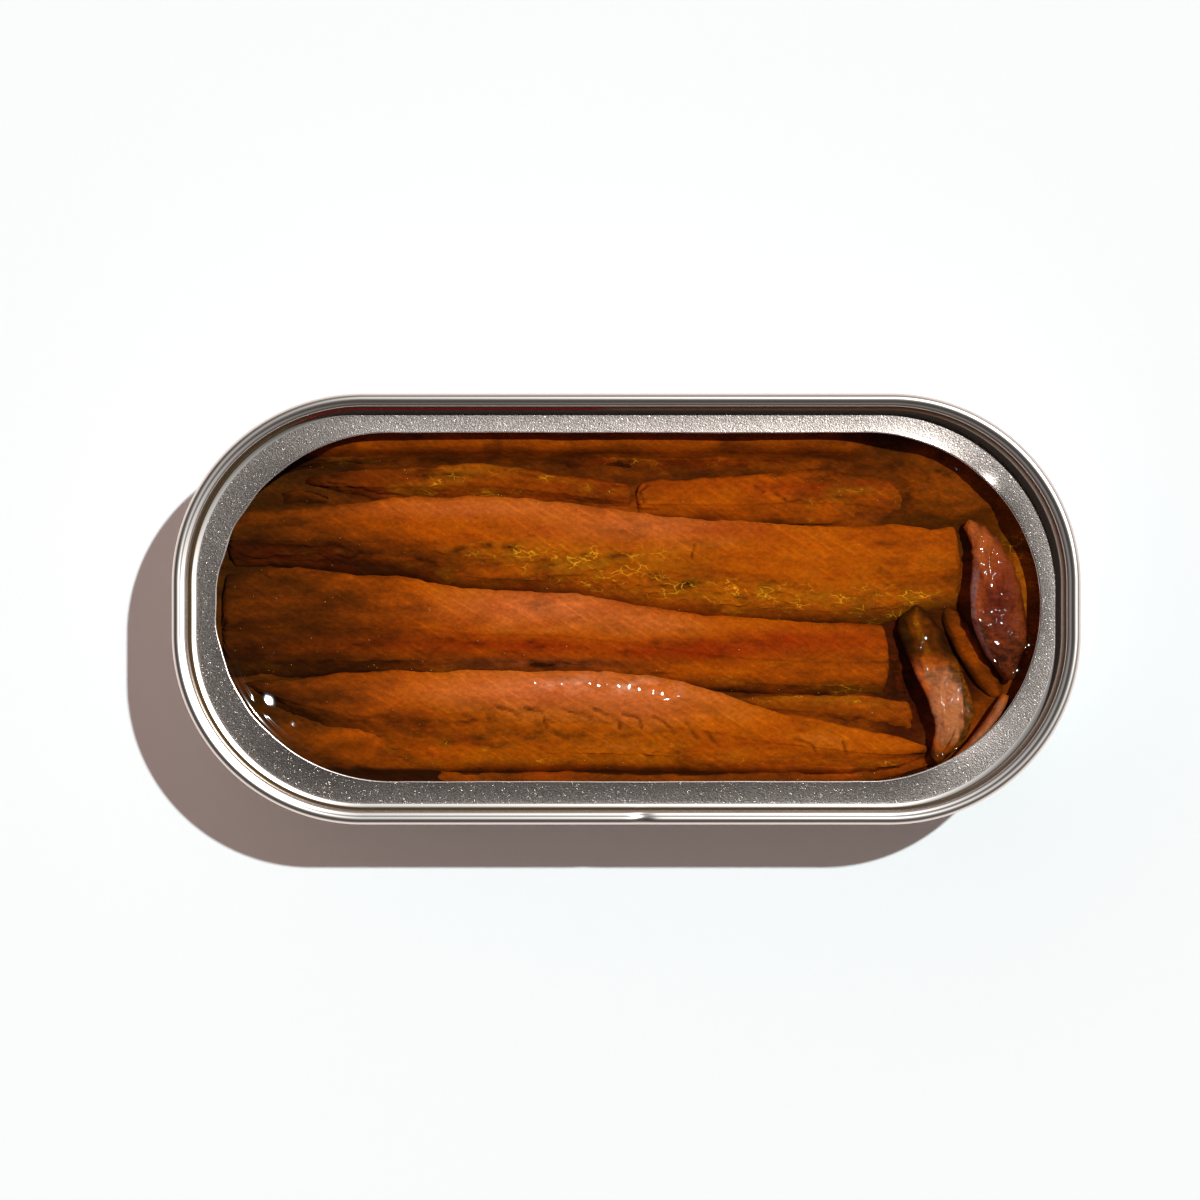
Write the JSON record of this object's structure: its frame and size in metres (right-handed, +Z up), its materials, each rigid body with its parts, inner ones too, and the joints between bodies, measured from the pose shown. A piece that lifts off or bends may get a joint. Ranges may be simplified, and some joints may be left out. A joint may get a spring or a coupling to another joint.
{
  "type": "tin of anchovies",
  "caption": "Opened shallow oblong fish tin with rounded ends: torn-out lid leaves a narrow seamed ring round anchovy fillets lying in amber oil.",
  "frame": {"origin": "on the floor under the middle of the tin", "axes": "+X along the tin's length toward the end where the loose fillet ends lie, +Y toward the side of the last row, +Z up"},
  "size_m": [0.105, 0.0498, 0.02],
  "materials": {
    "tin_metal": "bright drawn aluminium sheet, unprinted",
    "ring_metal": "satin, finely grained aluminium with a bright cut edge",
    "oil": "clear amber oil",
    "fillet": "cured fish flesh, orange-brown under the oil, fine slanting muscle fibres",
    "wet_fillet": "wet cured fish flesh, pink-tan",
    "dark_fillet": "wet dark red-brown belly meat with a silvery skin edge"
  },
  "bodies": {
    "root": {"tin_body": "tin_metal", "end_ring": "ring_metal", "oil": "oil", "back_strip": "fillet", "left_lobe": "fillet", "second_row_left": "fillet", "second_row_right": "fillet", "upper_fillet": "fillet", "middle_fillet": "fillet", "low_strip": "fillet", "lower_fillet": "fillet", "front_strip": "fillet", "thin_strand": "fillet", "twisted_end": "wet_fillet", "edge_flap": "wet_fillet", "dark_leaf": "dark_fillet"}
  },
  "joints": []
}
